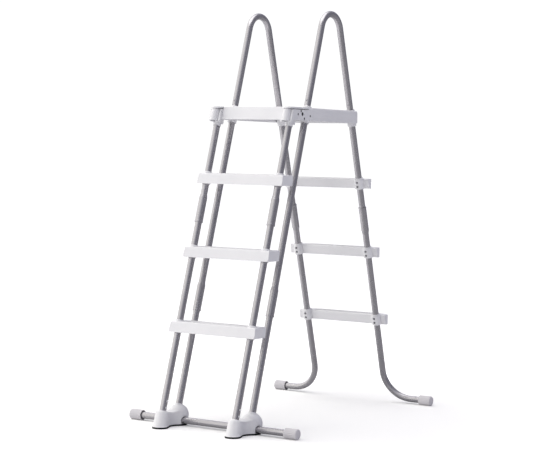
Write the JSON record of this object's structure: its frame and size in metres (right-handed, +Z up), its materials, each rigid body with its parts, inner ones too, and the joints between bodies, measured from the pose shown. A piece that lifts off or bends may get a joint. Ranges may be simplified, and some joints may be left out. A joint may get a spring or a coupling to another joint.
{
  "type": "pool ladder",
  "caption": "Free-standing A-frame pool ladder with a top platform, arched handrails, fixed pool-side steps and an entry-side step unit that lifts off its hooks and foot cups.",
  "frame": {"origin": "on the floor, under the middle of the ladder's bounding box", "axes": "+Z up, +X across the ladder to the right seen from the entry side, +Y from the entry side to the pool side"},
  "size_m": [0.77, 1.2133, 1.607],
  "materials": {
    "tube": "satin powder coat",
    "plastic": "fine moulded texture",
    "cap": "fine moulded texture",
    "rubber": "matt",
    "steel": "dark zinc plated",
    "button": "smooth"
  },
  "bodies": {
    "frame": {"left_handrail": "tube", "right_handrail": "tube", "left_entry_upper_leg": "tube", "right_entry_upper_leg": "tube", "left_entry_lower_leg": "tube", "right_entry_lower_leg": "tube", "left_pool_upper_leg": "tube", "right_pool_upper_leg": "tube", "left_pool_lower_leg": "tube", "right_pool_lower_leg": "tube", "leg_joint_screws": "steel", "top_platform": "plastic", "left_corner_bracket": "plastic", "right_corner_bracket": "plastic", "hook_pins": "steel", "bracket_screws": "steel", "platform_screws": "steel", "lower_pool_step": "plastic", "middle_pool_step": "plastic", "upper_pool_step": "plastic", "pool_step_screws": "steel", "base_bar": "tube", "left_base_cap": "cap", "right_base_cap": "cap", "left_pool_foot_cap": "cap", "right_pool_foot_cap": "cap", "left_base_foot": "plastic", "right_base_foot": "plastic", "left_foot_sole": "rubber", "right_foot_sole": "rubber", "base_foot_screws": "steel", "handrail_button_springs": "steel"},
    "removable_steps": {"left_upper_rail": "tube", "right_upper_rail": "tube", "left_lower_rail": "tube", "right_lower_rail": "tube", "rail_joint_screws": "steel", "lower_entry_step": "plastic", "middle_entry_step": "plastic", "upper_entry_step": "plastic", "entry_step_screws": "steel", "left_rail_hook": "plastic", "right_rail_hook": "plastic", "rail_hook_screws": "steel", "left_rail_plug": "plastic", "right_rail_plug": "plastic", "lock_button_springs": "steel"},
    "left_entry_handrail_button": {"left_entry_handrail_button": "button"},
    "right_entry_handrail_button": {"right_entry_handrail_button": "button"},
    "left_pool_handrail_button": {"left_pool_handrail_button": "button"},
    "right_pool_handrail_button": {"right_pool_handrail_button": "button"},
    "left_upper_lock_button": {"left_upper_lock_button": "button"},
    "left_lower_lock_button": {"left_lower_lock_button": "button"},
    "right_upper_lock_button": {"right_upper_lock_button": "button"},
    "right_lower_lock_button": {"right_lower_lock_button": "button"}
  },
  "joints": [
    {"name": "steps_lift_off", "type": "slide", "parent": "frame", "child": "removable_steps", "axis": [0, 0.2874, 0.9578], "range_m": [0, 0.07]},
    {"name": "left_entry_handrail_button_press", "type": "slide", "parent": "frame", "child": "left_entry_handrail_button", "axis": [0, -0.9578, 0.2874], "range_m": [-0.003, 0], "stiffness_N_per_m": 400},
    {"name": "right_entry_handrail_button_press", "type": "slide", "parent": "frame", "child": "right_entry_handrail_button", "axis": [0, -0.9578, 0.2874], "range_m": [-0.003, 0], "stiffness_N_per_m": 400},
    {"name": "left_pool_handrail_button_press", "type": "slide", "parent": "frame", "child": "left_pool_handrail_button", "axis": [0, -0.9578, -0.2874], "range_m": [-0.003, 0], "stiffness_N_per_m": 400},
    {"name": "right_pool_handrail_button_press", "type": "slide", "parent": "frame", "child": "right_pool_handrail_button", "axis": [0, -0.9578, -0.2874], "range_m": [-0.003, 0], "stiffness_N_per_m": 400},
    {"name": "left_upper_lock_button_press", "type": "slide", "parent": "removable_steps", "child": "left_upper_lock_button", "axis": [1, 0, 0], "range_m": [-0.003, 0], "stiffness_N_per_m": 400},
    {"name": "left_lower_lock_button_press", "type": "slide", "parent": "removable_steps", "child": "left_lower_lock_button", "axis": [1, 0, 0], "range_m": [-0.003, 0], "stiffness_N_per_m": 400},
    {"name": "right_upper_lock_button_press", "type": "slide", "parent": "removable_steps", "child": "right_upper_lock_button", "axis": [1, 0, 0], "range_m": [-0.003, 0], "stiffness_N_per_m": 400},
    {"name": "right_lower_lock_button_press", "type": "slide", "parent": "removable_steps", "child": "right_lower_lock_button", "axis": [1, 0, 0], "range_m": [-0.003, 0], "stiffness_N_per_m": 400}
  ]
}
